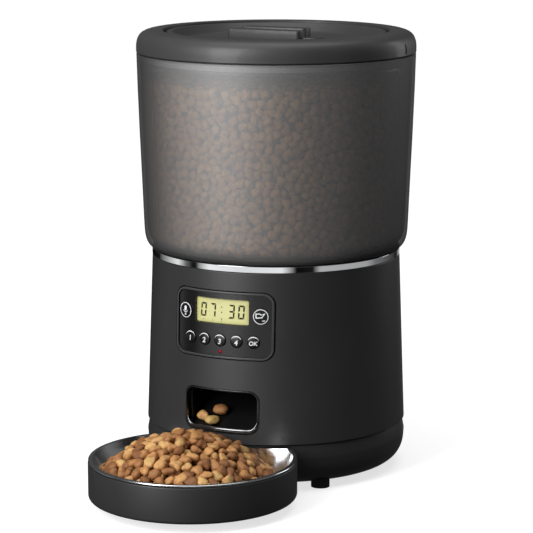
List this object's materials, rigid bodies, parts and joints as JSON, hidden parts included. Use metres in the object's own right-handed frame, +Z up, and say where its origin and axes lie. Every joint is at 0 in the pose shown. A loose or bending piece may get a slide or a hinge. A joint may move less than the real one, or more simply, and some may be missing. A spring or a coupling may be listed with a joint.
{
  "type": "automatic pet feeder",
  "caption": "Countertop dry-food feeder: lift-off smoke hopper with dosing rotor over a round geared body with timer panel and drop outlet, and a steel bowl in a pull-out tray.",
  "frame": {"origin": "centre of the bounding box at floor level, between the body and the bowl", "axes": "+Z up, front with panel, outlet and bowl towards -Y, +X to the right of someone who faces the panel"},
  "size_m": [0.19, 0.2902, 0.301],
  "materials": {
    "body_plastic": "fine satin charcoal",
    "rubber": "matt",
    "screw_steel": "plain",
    "inner_plastic": "matt",
    "chrome_trim": "polished",
    "gloss_black": "gloss",
    "bevel_plastic": "satin",
    "display_window": "clear",
    "display": "yellow-green liquid crystal",
    "silicone": "matt",
    "circuit_board": "coated",
    "led_red": "clear red",
    "button_plastic": "semi gloss",
    "gear_nylon": "natural",
    "hopper_smoke": "smoke tinted translucent plastic",
    "lid_plastic": "satin",
    "bowl_steel": "polished stainless steel"
  },
  "bodies": {
    "main_body": {"chute": "body_plastic", "base_pan": "body_plastic", "body_shell": "body_plastic", "battery_door": "body_plastic", "foot_1": "rubber", "foot_2": "rubber", "foot_3": "rubber", "foot_4": "rubber", "base_screw_1": "screw_steel", "base_screw_2": "screw_steel", "base_screw_3": "screw_steel", "base_screw_4": "screw_steel", "motor_screw_1": "screw_steel", "motor_screw_2": "screw_steel", "battery_contact_1": "screw_steel", "battery_contact_2": "screw_steel", "motor": "screw_steel", "battery_box": "inner_plastic", "top_deck": "inner_plastic", "gear_plate": "inner_plastic", "power_inlet": "inner_plastic", "speaker": "inner_plastic", "trim_ring": "chrome_trim", "outlet_bezel": "gloss_black", "panel_face": "gloss_black", "panel_frame": "bevel_plastic", "lcd_window": "display_window", "lcd_module": "display", "keypad_mat": "silicone", "control_board": "circuit_board", "led_lens": "led_red"},
    "hopper": {"tank": "hopper_smoke", "dosing_well": "inner_plastic", "rotor_cover": "inner_plastic"},
    "dosing_rotor": {"rotor": "silicone", "agitator": "gear_nylon"},
    "lid": {"lid": "lid_plastic", "lid_seal": "silicone", "lid_disc": "lid_plastic", "desiccant_box": "inner_plastic", "desiccant_cover": "inner_plastic"},
    "lid_grip": {"lid_grip": "lid_plastic"},
    "tray": {"bowl_tray": "body_plastic", "tray_pad_1": "rubber", "tray_pad_2": "rubber", "tray_pad_3": "rubber"},
    "bowl": {"steel_bowl": "bowl_steel"},
    "drive": {"drive_gear": "gear_nylon", "drive_shaft": "screw_steel"},
    "pinion": {"motor_pinion": "gear_nylon"},
    "button_voice": {"button_voice": "button_plastic"},
    "button_feed": {"button_feed": "button_plastic"},
    "button_1": {"button_1": "button_plastic"},
    "button_2": {"button_2": "button_plastic"},
    "button_3": {"button_3": "button_plastic"},
    "button_4": {"button_4": "button_plastic"},
    "button_ok": {"button_ok": "button_plastic"}
  },
  "joints": [
    {"name": "hopper_lift", "type": "slide", "parent": "main_body", "child": "hopper", "axis": [0, 0, 1], "range_m": [0, 0.08]},
    {"name": "lid_lift", "type": "slide", "parent": "hopper", "child": "lid", "axis": [0, 0, 1], "range_m": [0, 0.05]},
    {"name": "grip_turn", "type": "hinge", "parent": "lid", "child": "lid_grip", "pos_m": [0, 0.05005, 0.293], "axis": [0, 0, 1], "range_deg": [0, 90]},
    {"name": "tray_pull", "type": "slide", "parent": "main_body", "child": "tray", "axis": [0, -1, 0], "range_m": [0, 0.06]},
    {"name": "bowl_lift", "type": "slide", "parent": "tray", "child": "bowl", "axis": [0, 0, 1], "range_m": [0, 0.04]},
    {"name": "drive_spin", "type": "hinge", "parent": "main_body", "child": "drive", "pos_m": [0, 0.05005, 0.115], "axis": [0, 0, 1], "continuous": true},
    {"name": "pinion_spin", "type": "hinge", "parent": "main_body", "child": "pinion", "pos_m": [0, 0.07165, 0.115], "axis": [0, 0, 1], "continuous": true},
    {"name": "rotor_spin", "type": "hinge", "parent": "hopper", "child": "dosing_rotor", "pos_m": [0, 0.05005, 0.138], "axis": [0, 0, 1], "continuous": true},
    {"name": "button_voice_press", "type": "slide", "parent": "main_body", "child": "button_voice", "axis": [0.319, 0.9478, 0], "range_m": [0, 0.001], "stiffness_N_per_m": 1000, "springref_m": -0.0005},
    {"name": "button_feed_press", "type": "slide", "parent": "main_body", "child": "button_feed", "axis": [-0.319, 0.9478, 0], "range_m": [0, 0.001], "stiffness_N_per_m": 1000, "springref_m": -0.0005},
    {"name": "button_1_press", "type": "slide", "parent": "main_body", "child": "button_1", "axis": [0.2662, 0.9639, 0], "range_m": [0, 0.001], "stiffness_N_per_m": 1000, "springref_m": -0.0005},
    {"name": "button_2_press", "type": "slide", "parent": "main_body", "child": "button_2", "axis": [0.1343, 0.9909, 0], "range_m": [0, 0.001], "stiffness_N_per_m": 1000, "springref_m": -0.0005},
    {"name": "button_3_press", "type": "slide", "parent": "main_body", "child": "button_3", "axis": [0, 1, 0], "range_m": [0, 0.001], "stiffness_N_per_m": 1000, "springref_m": -0.0005},
    {"name": "button_4_press", "type": "slide", "parent": "main_body", "child": "button_4", "axis": [-0.1343, 0.9909, 0], "range_m": [0, 0.001], "stiffness_N_per_m": 1000, "springref_m": -0.0005},
    {"name": "button_ok_press", "type": "slide", "parent": "main_body", "child": "button_ok", "axis": [-0.2662, 0.9639, 0], "range_m": [0, 0.001], "stiffness_N_per_m": 1000, "springref_m": -0.0005}
  ],
  "couplings": [
    {"joint": "drive_spin", "follows": "rotor_spin", "ratio": 1},
    {"joint": "pinion_spin", "follows": "rotor_spin", "ratio": -2}
  ]
}
